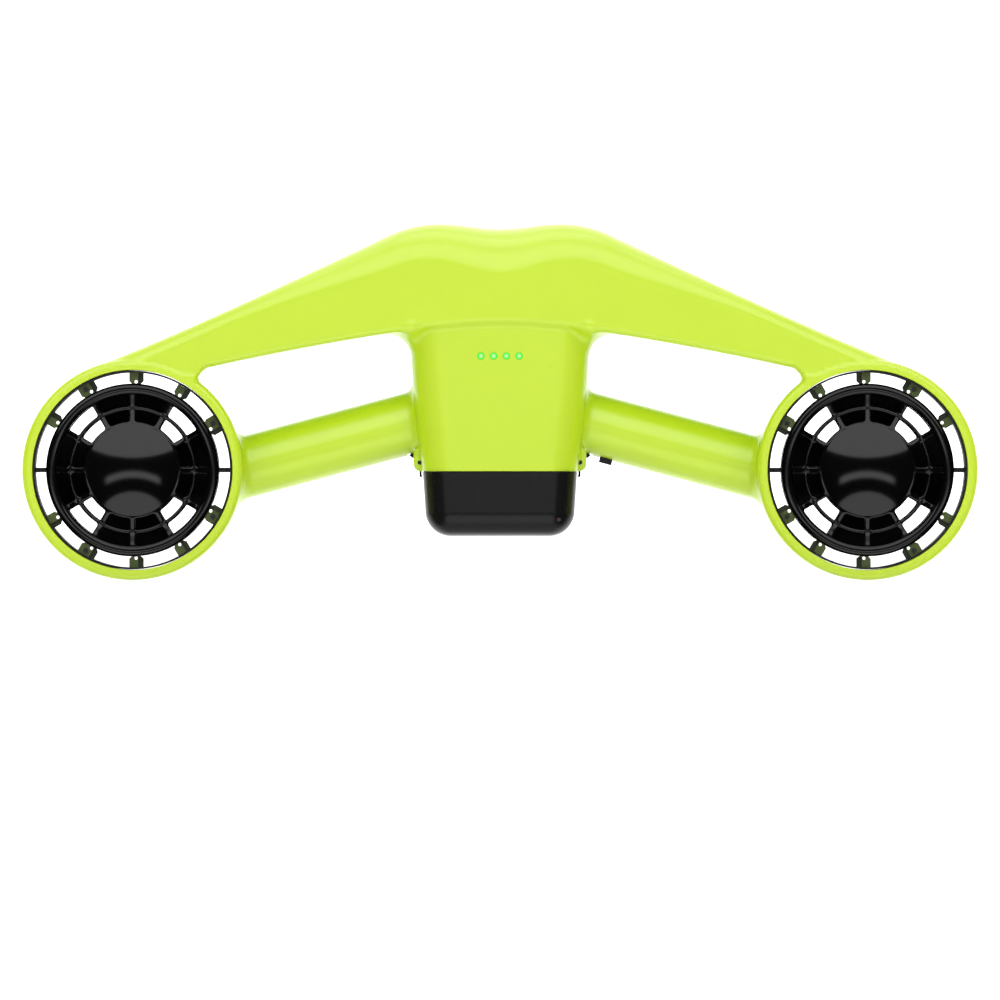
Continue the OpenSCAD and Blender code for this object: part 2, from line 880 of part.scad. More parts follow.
module motor_shaft() {
    color(steel) rod(shaft_r, -32.5, 31);
}

blade_z = [4, 23];
prop_hub_r = 24.4;

module propeller() {
    sweep = 54;
    edge = 3;
    tip_r = duct_in - 0.8;
    color(black) {
        tube(prop_hub_r, prop_hub_r - 2, 2, 24);
        tube(prop_hub_r - 1, shaft_r, 20, 24);
        tube(6, shaft_r, 2, 21);
        for (i = [0 : blades - 1]) rotate(360 * i / blades - sweep / 2)
            translate([0, 0, blade_z[0]])
            linear_extrude(blade_z[1] - blade_z[0], twist = -sweep, slices = 10, $fn = 6)
            polygon([[23.6 * cos(edge), -23.6 * sin(edge)], [tip_r * cos(edge), -tip_r * sin(edge)],
                     [tip_r, 0], [tip_r * cos(edge), tip_r * sin(edge)],
                     [23.6 * cos(edge), 23.6 * sin(edge)]]);
    }
}

module spinner() {
    height = 10;
    color(black) difference() {
        rotate_extrude($fn = 72) polygon(concat(
            [for (i = [0 : 8]) let (a = 90 * i / 8) [prop_hub_r * cos(a), 24 + height * sin(a)]],
            [[0, 24]]));
        rod(shaft_r, 20, 31);
    }
}

// ---------------------------------------------------------------- nodes

rear_shell();
front_shell();
shell_screws();
camera_mount();
battery_bay();
power_socket();
socket_pins();
controller_board();
heat_sink();
light_board();
charge_lights();
thumb_button();
button_spring();
button_magnet();
button_sensor();
latch(-1);  // left_latch
latch(1);  // right_latch
latch_pins();
latch_springs();
battery_tray();
battery_case();
battery_cells();
cell_holders();
battery_monitor();
battery_plug();
plug_contacts();
battery_seal();
battery_light();
bracket_screws();
motor_windings();
motor_bearings();
shaft_seals();
at_thruster(-1) liner();  // left_liner
at_thruster(-1) duct();  // left_duct
at_thruster(-1) duct_brackets();  // left_duct_brackets
at_thruster(-1) mirror([0, 0, 1]) guard();  // left_rear_guard
at_thruster(-1) guard();  // left_front_guard
at_thruster(-1) motor_housing();  // left_motor_housing
at_thruster(-1) motor_cover();  // left_motor_cover
at_thruster(-1) motor_stator();  // left_motor_stator
on_side(-1) motor_cable();  // left_motor_cable
at_thruster(-1) rotor_core();  // left_rotor_core
at_thruster(-1) rotor_magnets();  // left_rotor_magnets
at_thruster(-1) motor_shaft();  // left_motor_shaft
at_thruster(-1) propeller();  // left_propeller
at_thruster(-1) spinner();  // left_spinner
at_thruster(1) liner();  // right_liner
at_thruster(1) duct();  // right_duct
at_thruster(1) duct_brackets();  // right_duct_brackets
at_thruster(1) mirror([0, 0, 1]) guard();  // right_rear_guard
at_thruster(1) guard();  // right_front_guard
at_thruster(1) motor_housing();  // right_motor_housing
at_thruster(1) motor_cover();  // right_motor_cover
at_thruster(1) motor_stator();  // right_motor_stator
on_side(1) motor_cable();  // right_motor_cable
at_thruster(1) rotor_core();  // right_rotor_core
at_thruster(1) rotor_magnets();  // right_rotor_magnets
at_thruster(1) motor_shaft();  // right_motor_shaft
at_thruster(1) propeller();  // right_propeller
at_thruster(1) spinner();  // right_spinner
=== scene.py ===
"""Looks of a two-thruster underwater scooter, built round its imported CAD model."""

import json
import math

import bmesh
import bpy
import numpy as np
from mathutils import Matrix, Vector


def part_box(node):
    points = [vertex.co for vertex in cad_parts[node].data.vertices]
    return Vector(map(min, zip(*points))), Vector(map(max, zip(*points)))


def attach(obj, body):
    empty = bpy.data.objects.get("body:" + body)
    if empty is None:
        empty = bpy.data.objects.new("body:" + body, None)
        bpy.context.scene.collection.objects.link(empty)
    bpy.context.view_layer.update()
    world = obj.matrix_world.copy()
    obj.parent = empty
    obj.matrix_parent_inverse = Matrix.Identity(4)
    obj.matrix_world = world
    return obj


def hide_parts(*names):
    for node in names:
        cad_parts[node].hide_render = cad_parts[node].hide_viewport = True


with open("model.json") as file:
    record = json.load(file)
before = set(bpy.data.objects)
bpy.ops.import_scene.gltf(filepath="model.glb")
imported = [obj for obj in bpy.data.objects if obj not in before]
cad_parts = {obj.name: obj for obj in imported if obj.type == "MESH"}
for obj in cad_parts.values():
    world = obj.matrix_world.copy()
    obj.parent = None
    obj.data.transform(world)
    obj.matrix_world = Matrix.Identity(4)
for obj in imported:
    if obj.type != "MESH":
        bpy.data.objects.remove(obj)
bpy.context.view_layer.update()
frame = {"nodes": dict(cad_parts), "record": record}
NODES = frame["nodes"]
MM = 0.001


# ---------------------------------------------------------------- sizes, in millimetres, from the frame


def mm_box(node):
    """Lowest and highest corner of a CAD node, in millimetres."""
    low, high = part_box(node)
    return np.array(low) / MM, np.array(high) / MM


liner_low, liner_high = mm_box("right_liner")
shell_low, shell_high = mm_box("rear_shell")
tray_low, tray_high = mm_box("battery_tray")
THRUSTER_X = (liner_low[0] + liner_high[0]) / 2
AXIS_Z = (liner_low[2] + liner_high[2]) / 2
RING_R = AXIS_Z
BORE_R = (liner_high[0] - liner_low[0]) / 2 + 0.3
RING_HALF = -shell_low[1]
CROWN_Z = shell_high[2]
MOUTH_Z = tray_high[2] + 0.05
WALL = 3.0
SEAM = 0.12


# ---------------------------------------------------------------- smooth shapes as distance fields


def share(x, a, b):
    return np.clip((x - a) / (b - a), 0, 1)


def ease(t):
    return t * t * (3 - 2 * t)


def mix(a, b, t):
    return a + (b - a) * t


def join(a, b, r):
    """Union of two fields with a round fillet of radius r."""
    return np.maximum(r, np.minimum(a, b)) - np.hypot(np.maximum(r - a, 0), np.maximum(r - b, 0))


def cut(a, b, r):
    """Field a without field b, with an edge rounded to r."""
    return -join(-a, b, r)


def rounded(u, v, r):
    """Quarter of a rounded rectangle: u and v are the depths past its two sides."""
    u = u + r
    v = v + r
    return np.minimum(np.maximum(u, v), 0) + np.hypot(np.maximum(u, 0), np.maximum(v, 0)) - r


def surface(field, low, high, step):
    """Vertices and quads of the surface where a field is zero, by surface nets."""
    axes = [np.arange(a, b + step, step) for a, b in zip(low, high)]
    x, y, z = np.meshgrid(*axes, indexing="ij")
    f = field(x, y, z)
    inside = f < 0
    cells = tuple(n - 1 for n in f.shape)
    total = np.zeros(cells + (3,), np.float32)
    count = np.zeros(cells, np.float32)
    crossings = []
    for axis in range(3):
        others = [a for a in range(3) if a != axis]
        first = [slice(None)] * 3
        second = [slice(None)] * 3
        first[axis] = slice(0, -1)
        second[axis] = slice(1, None)
        f0, f1 = f[tuple(first)], f[tuple(second)]
        cross = inside[tuple(first)] != inside[tuple(second)]
        t = np.where(cross, f0 / np.where(cross, f0 - f1, 1), 0).astype(np.float32)
        crossings.append((cross, inside[tuple(first)]))
        for du in (0, 1):
            for dv in (0, 1):
                part = [slice(None)] * 3
                part[others[0]] = slice(du, du + cells[others[0]])
                part[others[1]] = slice(dv, dv + cells[others[1]])
                here = cross[tuple(part)].astype(np.float32)
                total[..., axis] += t[tuple(part)]
                total[..., others[0]] += here * du
                total[..., others[1]] += here * dv
                count += here
    used = count > 0
    index = np.full(cells, -1, np.int64)
    index[used] = np.arange(used.sum())
    places = np.argwhere(used) + total[used] / count[used][:, None]
    points = places * step + np.array([a[0] for a in axes])
    quads = []
    for axis in range(3):
        u, v = [(1, 2), (2, 0), (0, 1)][axis]
        cross, started_inside = crossings[axis]
        keep = [slice(None)] * 3
        keep[u] = slice(1, cells[u])
        keep[v] = slice(1, cells[v])
        at = np.argwhere(cross[tuple(keep)])
        at[:, u] += 1
        at[:, v] += 1
        flip = ~started_inside[tuple(at.T)]
        corners = []
        for du, dv in ((1, 1), (0, 1), (0, 0), (1, 0)):
            c = at.copy()
            c[:, u] -= du
            c[:, v] -= dv
            corners.append(index[tuple(c.T)])
        quad = np.stack(corners, 1)
        quad[flip] = quad[flip][:, ::-1]
        quads.append(quad)
    quads = np.concatenate(quads)
    for _ in range(3):
        points = settle(field, relaxed(points, quads), step)
    return points, quads


def relaxed(points, quads):
    """Points moved half way to the average of their neighbours."""
    total = np.zeros_like(points)
    count = np.zeros(len(points))
    for k in range(4):
        a, b = quads[:, k], quads[:, (k + 1) % 4]
        for u, v in ((a, b), (b, a)):
            for axis in range(3):
                total[:, axis] += np.bincount(u, points[v, axis], len(points))
            count += np.bincount(u, minlength=len(points))
    return (points + total / np.maximum(count, 1)[:, None]) / 2


def settle(field, points, step):
    """Moves points onto the surface of a field along its gradient."""
    reach = 0.05
    for _ in range(2):
        x, y, z = points.T
        f = field(x, y, z)
        slope = np.stack(
            [
                field(x + reach, y, z) - field(x - reach, y, z),
                field(x, y + reach, z) - field(x, y - reach, z),
                field(x, y, z + reach) - field(x, y, z - reach),
            ],
            1,
        ) / (2 * reach)
        size = np.maximum((slope**2).sum(1), 0.25)
        move = slope * (f / size)[:, None]
        points = points - np.clip(move, -0.4 * step, 0.4 * step)
    return points


# ---------------------------------------------------------------- the housing's form

CROWN_X = 33.0
CROWN_TURN = math.radians(25.5)
CROWN_ROUND = 63.0
SADDLE = 2.7
TOUCH = math.radians(68)
FLANK_START = (CROWN_X + CROWN_ROUND * math.sin(CROWN_TURN), CROWN_Z - CROWN_ROUND * (1 - math.cos(CROWN_TURN)))
FLANK_KNEE = (THRUSTER_X - 30, AXIS_Z + 75.3)
FLANK_END = (THRUSTER_X + (RING_R - 0.4) * math.cos(TOUCH), AXIS_Z + (RING_R - 0.4) * math.sin(TOUCH))
UNDER_Z = CROWN_Z - 54
UNDER_KNEE_X = 47.0
UNDER_END = (THRUSTER_X - 43, AXIS_Z + 56.2)
ARCH_HALF = 42.0
ARCH_WIDENS = (60, 150)
CROWN_EDGES = (21, 7)
CROWN_NARROWS = (20, 150)
CROWN_MIDDLE, CROWN_MIDDLE_X = 5, 22
UNDER_EDGE = 3.5
GRIP_R = 16.8
GRIP_TILT = math.radians(14.9)
GRIP_AT = (54.4, 84.0)
GRIP_ENDS = (32, 146)
BODY = np.array([[MOUTH_Z, 42.4, 36.8], [88, 45.6, 37.2], [108, 47.6, 37.6], [150, 50, 38.5]])
BODY_ROUND = 17.0
PIN_AT = (43.6, 64.0)
RING_EDGE = 3.0
LUG_X = 47.1
LUG_Y = (11.0, 17.0)
LUG_TOP = 72.6
RING_FILLETS = (0.6, 5.8)
BODY_FILLETS = (3.4, 15)
GRIP_FILLET = 5.0
LUG_FILLET = 1.5
BORE_SPARE = 1.5
BORE_EDGE = 0.6
BARREL_POCKET = ((39.6, -11.0, MOUTH_Z - 3), (46.6, 11.0, 72.5))
TAB_SLOT = ((40.0, -5.3, MOUTH_Z - 3), (50.4, 5.3, 70.5))
CABLE_SLOT = ((THRUSTER_X - 64, -14, AXIS_Z - 1.2), (THRUSTER_X - 50, -5, AXIS_Z + 3.4))
PIN_HOLE_R = 1.3
BUTTON_SLOT_HALF = 3.7
SCREW_SPOTS = ((41, 122, 30.5), (40, 165, 41), (84, 152, 41.5), (122, 140, 43))
BOSS_R = 3.7
SCREW_HOLE_R = 1.6
SCREW_HEAD_R = 3.1
SCREW_HEAD_IN = 4.2
INSERT_R = 4.2


def bezier(a, b, c, t):
    return (1 - t) ** 2 * a + 2 * t * (1 - t) * b + t * t * c


def bezier_share(x, a, b, c):
    p, q, s = a - 2 * b + c, 2 * (b - a), a - x
    return (-q + np.sqrt(np.maximum(q * q - 4 * p * s, 0))) / (2 * p)


def arch_top(x):
    """Height of the arch's top at a distance x from the middle."""
    saddle = CROWN_Z - SADDLE * (1 + np.cos(np.pi * np.minimum(x, CROWN_X) / CROWN_X)) / 2
    off = np.clip(x - CROWN_X, 0, CROWN_ROUND * math.sin(CROWN_TURN))
    shoulder = CROWN_Z - CROWN_ROUND + np.sqrt(CROWN_ROUND**2 - off**2)
    t = np.clip(bezier_share(np.maximum(x, FLANK_START[0]), FLANK_START[0], FLANK_KNEE[0], FLANK_END[0]), 0, 1)
    flank = bezier(FLANK_START[1], FLANK_KNEE[1], FLANK_END[1], t)
    return np.where(x <= CROWN_X, saddle, np.where(x <= FLANK_START[0], shoulder, flank))


def arch_under(x):
    """Height of the arch's underside; beyond its end it dips into the ring."""
    t = bezier_share(np.minimum(x, UNDER_END[0]), 0, UNDER_KNEE_X, UNDER_END[0])
    dip = 26 * ease(share(x, UNDER_END[0], UNDER_END[0] + 25))
    return bezier(UNDER_Z, UNDER_Z, UNDER_END[1], t) - dip


def arch(x, y, z):
    top, under = arch_top(x), arch_under(x)
    half = mix(ARCH_HALF, RING_HALF - 0.6, ease(share(x, *ARCH_WIDENS)))
    crown = mix(*CROWN_EDGES, ease(share(x, *CROWN_NARROWS)))
    crown = crown + CROWN_MIDDLE * np.exp(-((x / CROWN_MIDDLE_X) ** 2))
    slope = (arch_top(x + 0.5) - arch_top(np.maximum(x - 0.5, 0))) / np.where(x < 0.5, x + 0.5, 1)
    middle = (top + under) / 2
    upper = rounded(np.abs(y) - half, (z - top) / np.sqrt(1 + slope**2), crown)
    lower = rounded(np.abs(y) - half, under - z, UNDER_EDGE)
    return np.maximum(np.where(z > middle, upper, lower), x - FLANK_END[0])


def body(x, y, z):
    half_x = np.interp(z, BODY[:, 0], BODY[:, 1])
    half_y = np.interp(z, BODY[:, 0], BODY[:, 2])
    sides = rounded(np.abs(x) - half_x, np.abs(y) - half_y, BODY_ROUND)
    return np.maximum(sides, np.maximum(z - BODY[-1, 0], MOUTH_Z - 12 - z))


def grip(x, y, z):
    height = (z - GRIP_AT[1]) * math.cos(GRIP_TILT) + (x - GRIP_AT[0]) * math.sin(GRIP_TILT)
    return np.maximum(np.hypot(height, y) - GRIP_R, np.maximum(x - GRIP_ENDS[1], GRIP_ENDS[0] - x))


def ring(reach, y):
    middle = (BORE_R + RING_R) / 2
    outer = rounded(reach - RING_R, np.abs(y) - RING_HALF, RING_EDGE)
    inner = np.maximum(BORE_R - BORE_SPARE - reach, np.abs(y) - RING_HALF)
    return np.where(reach > middle, outer, inner)


def lug(x, y, z):
    outline = rounded(x - LUG_X, np.maximum(MOUTH_Z - z, z - LUG_TOP), 3.6)
    across = np.maximum(LUG_Y[0] - np.abs(y), np.abs(y) - LUG_Y[1])
    return np.maximum(rounded(outline, across, 0.8), 38 - x)


def housing(x, y, z):
    """Outside of both shells together, as a solid."""
    x = np.abs(x)
    reach = np.hypot(x - THRUSTER_X, z - AXIS_Z)
    middle = (arch_top(x) + arch_under(x)) / 2
    below = ease(share(z, middle + 8, middle - 8))
    beside = ease(share(x, 38, 50)) * ease(share(z, 149, 137))
    d = join(arch(x, y, z), ring(reach, y), mix(*RING_FILLETS, below * ease(share(x, 175, 160))))
    d = join(d, body(x, y, z), mix(*BODY_FILLETS, beside))
    d = join(d, grip(x, y, z), GRIP_FILLET)
    d = join(d, lug(x, y, z), LUG_FILLET)
    d = np.maximum(d, np.abs(y) - RING_HALF)
    return np.maximum(d, BORE_R - BORE_SPARE - reach)


def to_bore(x, z):
    return BORE_R - np.hypot(np.abs(x) - THRUSTER_X, z - AXIS_Z)


def hollow(x, y, z):
    """The space inside the walls."""
    return np.maximum(housing(x, y, z), to_bore(x, z)) + WALL


def walls(x, y, z):
    d = np.maximum(housing(x, y, z), to_bore(x, z))
    return np.maximum(d, -(d + WALL))


# ---------------------------------------------------------------- mesh helpers


def new_object(name, points, faces):
    mesh = bpy.data.meshes.new(name)
    mesh.from_pydata([tuple(p) for p in np.asarray(points) * MM], [], [tuple(f) for f in faces])
    mesh.validate()
    obj = bpy.data.objects.new(name, mesh)
    bpy.context.scene.collection.objects.link(obj)
    return obj


def shade_smooth(obj, angle=None):
    """Smooth shading, with edges sharper than angle kept crisp."""
    for p in obj.data.polygons:
        p.use_smooth = True
    if angle is not None:
        obj.data.set_sharp_from_angle(angle=math.radians(angle))


def edit(obj, change):
    bm = bmesh.new()
    bm.from_mesh(obj.data)
    change(bm)
    bm.to_mesh(obj.data)
    bm.free()
    obj.data.update()


def boolean(obj, cutters, operation="DIFFERENCE"):
    """Applies a boolean with each cutter in turn, and removes the cutters."""
    for cutter in cutters:
        modifier = obj.modifiers.new("cut", "BOOLEAN")
        modifier.object = cutter
        modifier.operation = operation
        modifier.solver = "MANIFOLD"
    apply_modifiers(obj)
    for cutter in cutters:
        bpy.data.objects.remove(cutter)


def apply_modifiers(obj):
    graph = bpy.context.evaluated_depsgraph_get()
    mesh = bpy.data.meshes.new_from_object(obj.evaluated_get(graph))
    obj.modifiers.clear()
    old = obj.data
    obj.data = mesh
    mesh.name = old.name
    bpy.data.meshes.remove(old)


def join_objects(objects, name):
    points, faces = [], []
    for o in objects:
        start = len(points)
        points += [o.matrix_world @ v.co for v in o.data.vertices]
        faces += [[start + i for i in p.vertices] for p in o.data.polygons]
        bpy.data.objects.remove(o)
    mesh = bpy.data.meshes.new(name)
    mesh.from_pydata(points, [], faces)
    obj = bpy.data.objects.new(name, mesh)
    bpy.context.scene.collection.objects.link(obj)
    return obj


def ring_lathe(name, profile, steps=64, at=(0, 0, 0)):
    """Solid of revolution about Y; the profile is a closed loop of (radius, y) off the axis."""
    count = len(profile)
    turns = [2 * math.pi * i / steps for i in range(steps)]
    points = [(at[0] + r * math.cos(a), at[1] + y, at[2] + r * math.sin(a)) for a in turns for r, y in profile]
    faces = []
    for i in range(steps):
        for j in range(count):
            a, b = i * count, (i + 1) % steps * count
            k = (j + 1) % count
            faces.append((a + j, a + k, b + k, b + j))
    return outward(new_object(name, points, faces))


def outward(obj):
    edit(obj, lambda bm: bmesh.ops.recalc_face_normals(bm, faces=bm.faces))
    return obj


def prism(name, outline, low, high, place):
    """Outline in two directions, extruded in the third; place turns (u, v, w) into (x, y, z)."""
    count = len(outline)
    points = [place(u, v, w) for w in (low, high) for u, v in outline]
    faces = [tuple(range(count)), tuple(range(count, 2 * count))]
    faces += [(i, (i + 1) % count, count + (i + 1) % count, count + i) for i in range(count)]
    return outward(new_object(name, points, faces))


def lathe(name, profile, steps=64, at=(0, 0, 0), axis="Z"):
    """Closed solid of revolution; the profile is (radius, height) from one pole to the other."""
    points, faces = [], []
    for r, h in profile[1:-1]:
        for i in range(steps):
            a = 2 * math.pi * i / steps
            points.append((r * math.cos(a), r * math.sin(a), h))
    rings = len(profile) - 2
    for j in range(rings - 1):
        for i in range(steps):
            k = (i + 1) % steps
            faces.append((j * steps + i, j * steps + k, (j + 1) * steps + k, (j + 1) * steps + i))
    points.append((0, 0, profile[0][1]))
    points.append((0, 0, profile[-1][1]))
    bottom, top = len(points) - 2, len(points) - 1
    for i in range(steps):
        k = (i + 1) % steps
        faces.append((bottom, k, i))
        faces.append((top, (rings - 1) * steps + i, (rings - 1) * steps + k))
    points = np.array(points, float)
    if axis == "Y":
        points = points[:, [0, 2, 1]] * [1, 1, -1]
    return new_object(name, points + np.array(at), faces)


def rod(name, r, low, high, at, axis="Z", steps=32):
    return lathe(name, [(0, low), (r, low), (r, high), (0, high)], steps, at, axis)


def box_object(name, low, high, turn=0.0, about=(0, 0, 0)):
    """Box between two corners, turned about Y and moved to a place."""
    corners = [(x, y, z) for x in (low[0], high[0]) for y in (low[1], high[1]) for z in (low[2], high[2])]
    faces = [(0, 1, 3, 2), (4, 6, 7, 5), (0, 4, 5, 1), (2, 3, 7, 6), (0, 2, 6, 4), (1, 5, 7, 3)]
    c, s = math.cos(turn), math.sin(turn)
    placed = [(about[0] + x * c + z * s, about[1] + y, about[2] - x * s + z * c) for x, y, z in corners]
    return new_object(name, placed, faces)


# ---------------------------------------------------------------- materials

LIME = (0.472, 0.645, 0.016)
GRAIN_DEPTH = 0.1
MOTTLE_SCALE, GLOSS_SCALE = 40, 150
LAMP_CENTRE, LAMP_RIM = 0.35, 0.75


def plastic(name, colour, rough, grain=0.12, grain_mm=0.35, mottle=0.03, metal=0.0, specular=0.5):
    """Moulded or machined surface: colour with a faint mottle, uneven gloss and a fine grain."""
    material = bpy.data.materials.new(name)
    material.use_nodes = True
    tree = material.node_tree
    shader = tree.nodes["Principled BSDF"]
    place = tree.nodes.new("ShaderNodeTexCoord")

    def noise(scale, detail):
        node = tree.nodes.new("ShaderNodeTexNoise")
        node.inputs["Scale"].default_value = scale
        node.inputs["Detail"].default_value = detail
        tree.links.new(place.outputs["Object"], node.inputs["Vector"])
        return node.outputs["Fac"]

    tint = tree.nodes.new("ShaderNodeMix")
    tint.data_type = "RGBA"
    tint.inputs["A"].default_value = [c * (1 - mottle) for c in colour] + [1]
    tint.inputs["B"].default_value = [min(1, c * (1 + mottle)) for c in colour] + [1]
    tree.links.new(noise(MOTTLE_SCALE, 3), tint.inputs["Factor"])
    tree.links.new(tint.outputs["Result"], shader.inputs["Base Color"])
    gloss = tree.nodes.new("ShaderNodeMapRange")
    gloss.inputs["To Min"].default_value = rough * 0.85
    gloss.inputs["To Max"].default_value = min(1, rough * 1.15)
    tree.links.new(noise(GLOSS_SCALE, 4), gloss.inputs["Value"])
    tree.links.new(gloss.outputs["Result"], shader.inputs["Roughness"])
    bump = tree.nodes.new("ShaderNodeBump")
    bump.inputs["Strength"].default_value = grain
    bump.inputs["Distance"].default_value = GRAIN_DEPTH * MM
    tree.links.new(noise(1 / (grain_mm * MM), 2), bump.inputs["Height"])
    tree.links.new(bump.outputs["Normal"], shader.inputs["Normal"])
    shader.inputs["Metallic"].default_value = metal
    shader.inputs["Specular IOR Level"].default_value = specular
    return material


def glow(name, rim, centre, strength):
    """Lit lamp cover: a pale middle in a coloured rim, by distance from its own centre."""
    material = bpy.data.materials.new(name)
    material.use_nodes = True
    tree = material.node_tree
    shader = tree.nodes["Principled BSDF"]
    spot = tree.nodes.new("ShaderNodeAttribute")
    spot.attribute_name = "centre_share"
    ramp = tree.nodes.new("ShaderNodeValToRGB")
    ramp.color_ramp.elements[0].position = LAMP_CENTRE
    ramp.color_ramp.elements[0].color = centre + (1,)
    ramp.color_ramp.elements[1].position = LAMP_RIM
    ramp.color_ramp.elements[1].color = rim + (1,)
    tree.links.new(spot.outputs["Fac"], ramp.inputs["Fac"])
    tree.links.new(ramp.outputs["Color"], shader.inputs["Base Color"])
    tree.links.new(ramp.outputs["Color"], shader.inputs["Emission Color"])
    shader.inputs["Emission Strength"].default_value = strength
    shader.inputs["Roughness"].default_value = 0.25
    return material


MATERIALS = {
    "lime_plastic": plastic("lime_plastic", LIME, 0.30, grain=0.10, mottle=0.02, specular=0.7),
    # Painted shade: the brackets' dark olive is the lime plastic darkened as if in the shadow of the gap between
    # ring and duct
    "bracket_plastic": plastic("bracket_plastic", (0.062, 0.09, 0.018), 0.4, mottle=0.05, specular=0.35),
    "black_plastic": plastic("black_plastic", (0.006, 0.006, 0.0065), 0.38, grain=0.25, mottle=0.1, specular=0.25),
    "gloss_black": plastic("gloss_black", (0.0015, 0.0015, 0.0017), 0.10, grain=0.02, mottle=0.05, specular=0.31),
    "dark_plastic": plastic("dark_plastic", (0.006, 0.006, 0.0065), 0.25, grain=0.2, mottle=0.06, specular=0.18),
    "steel": plastic("steel", (0.55, 0.56, 0.58), 0.28, grain=0.1, metal=1),
    "dark_screws": plastic("dark_screws", (0.01, 0.01, 0.011), 0.35, metal=0.3),
    "motor_metal": plastic("motor_metal", (0.02, 0.02, 0.022), 0.38, metal=0.5),
    "lamination": plastic("lamination", (0.16, 0.16, 0.17), 0.45, grain=0.6, grain_mm=0.5, metal=0.9),
    "copper": plastic("copper", (0.55, 0.19, 0.07), 0.3, grain=0.6, grain_mm=0.6, metal=0.9),
    "brass": plastic("brass", (0.62, 0.42, 0.13), 0.25, metal=1),
    "gold": plastic("gold", (0.80, 0.52, 0.14), 0.2, metal=1),
    "circuit_board": plastic("circuit_board", (0.012, 0.09, 0.035), 0.35, mottle=0.25),
    "aluminium": plastic("aluminium", (0.62, 0.63, 0.65), 0.35, grain=0.3, metal=1),
    "red_light": plastic("red_light", (0.03, 0.006, 0.006), 0.15),
    "cell_wrap": plastic("cell_wrap", (0.02, 0.09, 0.3), 0.3, mottle=0.08),
    "rubber": plastic("rubber", (0.014, 0.014, 0.014), 0.6, grain=0.4, mottle=0.15),
    "wire": plastic("wire", (0.02, 0.02, 0.02), 0.5, mottle=0.1),
    "magnet": plastic("magnet", (0.35, 0.36, 0.38), 0.25, metal=1),
    "green_light": glow("green_light", (0.02, 0.75, 0.03), (0.30, 0.90, 0.20), 0.55),
}
SLOT = {s["node"]: s["material_slot"] for s in frame["record"]["subparts"]}


def paint_shade_inside(material, start, end, dark):
    """Paints shade into a material: dims its colour from one distance off the middle plane to another, in
    millimetres.
    """
    tree = material.node_tree
    shader = tree.nodes["Principled BSDF"]
    colour = shader.inputs["Base Color"].links[0].from_socket
    place = tree.nodes.new("ShaderNodeTexCoord")
    split = tree.nodes.new("ShaderNodeSeparateXYZ")
    tree.links.new(place.outputs["Object"], split.inputs["Vector"])
    depth = tree.nodes.new("ShaderNodeMath")
    depth.operation = "ABSOLUTE"
    tree.links.new(split.outputs["Y"], depth.inputs[0])
    share_node = tree.nodes.new("ShaderNodeMapRange")
    for name, value in (("From Min", start * MM), ("From Max", end * MM), ("To Min", dark), ("To Max", 1.0)):
        share_node.inputs[name].default_value = value
    tree.links.new(depth.outputs["Value"], share_node.inputs["Value"])
    dim = tree.nodes.new("ShaderNodeMix")
    dim.data_type = "RGBA"
    dim.blend_type = "MULTIPLY"
    dim.inputs["Factor"].default_value = 1.0
    tree.links.new(colour, dim.inputs["A"])
    tree.links.new(share_node.outputs["Result"], dim.inputs["B"])
    tree.links.new(dim.outputs["Result"], shader.inputs["Base Color"])


# Painted shade on the brackets: their colour falls to 0.35 between 39 and 37.5 mm off the middle plane, darkening
# the recessed step and the parts deeper in the gap
paint_shade_inside(MATERIALS["bracket_plastic"], 37.5, 39.0, 0.35)


def give(obj, slot):
    obj.data.materials.clear()
    obj.data.materials.append(MATERIALS[slot])


# ---------------------------------------------------------------- the two shells

LAMP_R = 1.9


def lamp_places():
    """Places of the four charge lights, in X and Z."""
    low, high = mm_box("charge_lights")
    return [(x, (low[2] + high[2]) / 2) for x in np.linspace(low[0] + LAMP_R, high[0] - LAMP_R, 4)]


def mirrored_box(name, corners, side):
    """Box modelled for the right side, on the side asked for."""
    low, high = corners
    ends = sorted((side * low[0], side * high[0]))
    return box_object(name, (ends[0], low[1], low[2]), (ends[1], high[1], high[2]))


def bore_tool(side):
    """Cutter for a ring's bore, flared to round the bore's two edges."""
    arc = np.linspace(0, math.pi / 2, 5)
    end = [(BORE_R + BORE_EDGE * (1 - math.cos(a)), RING_HALF - BORE_EDGE * (1 - math.sin(a))) for a in arc]
    end.append((BORE_R + BORE_EDGE, RING_HALF + 10))
    profile = [(0, -RING_HALF - 10)] + [(r, -h) for r, h in end[::-1]] + end + [(0, RING_HALF + 10)]
    return lathe("bore", profile, 192, (side * THRUSTER_X, 0, AXIS_Z), "Y")


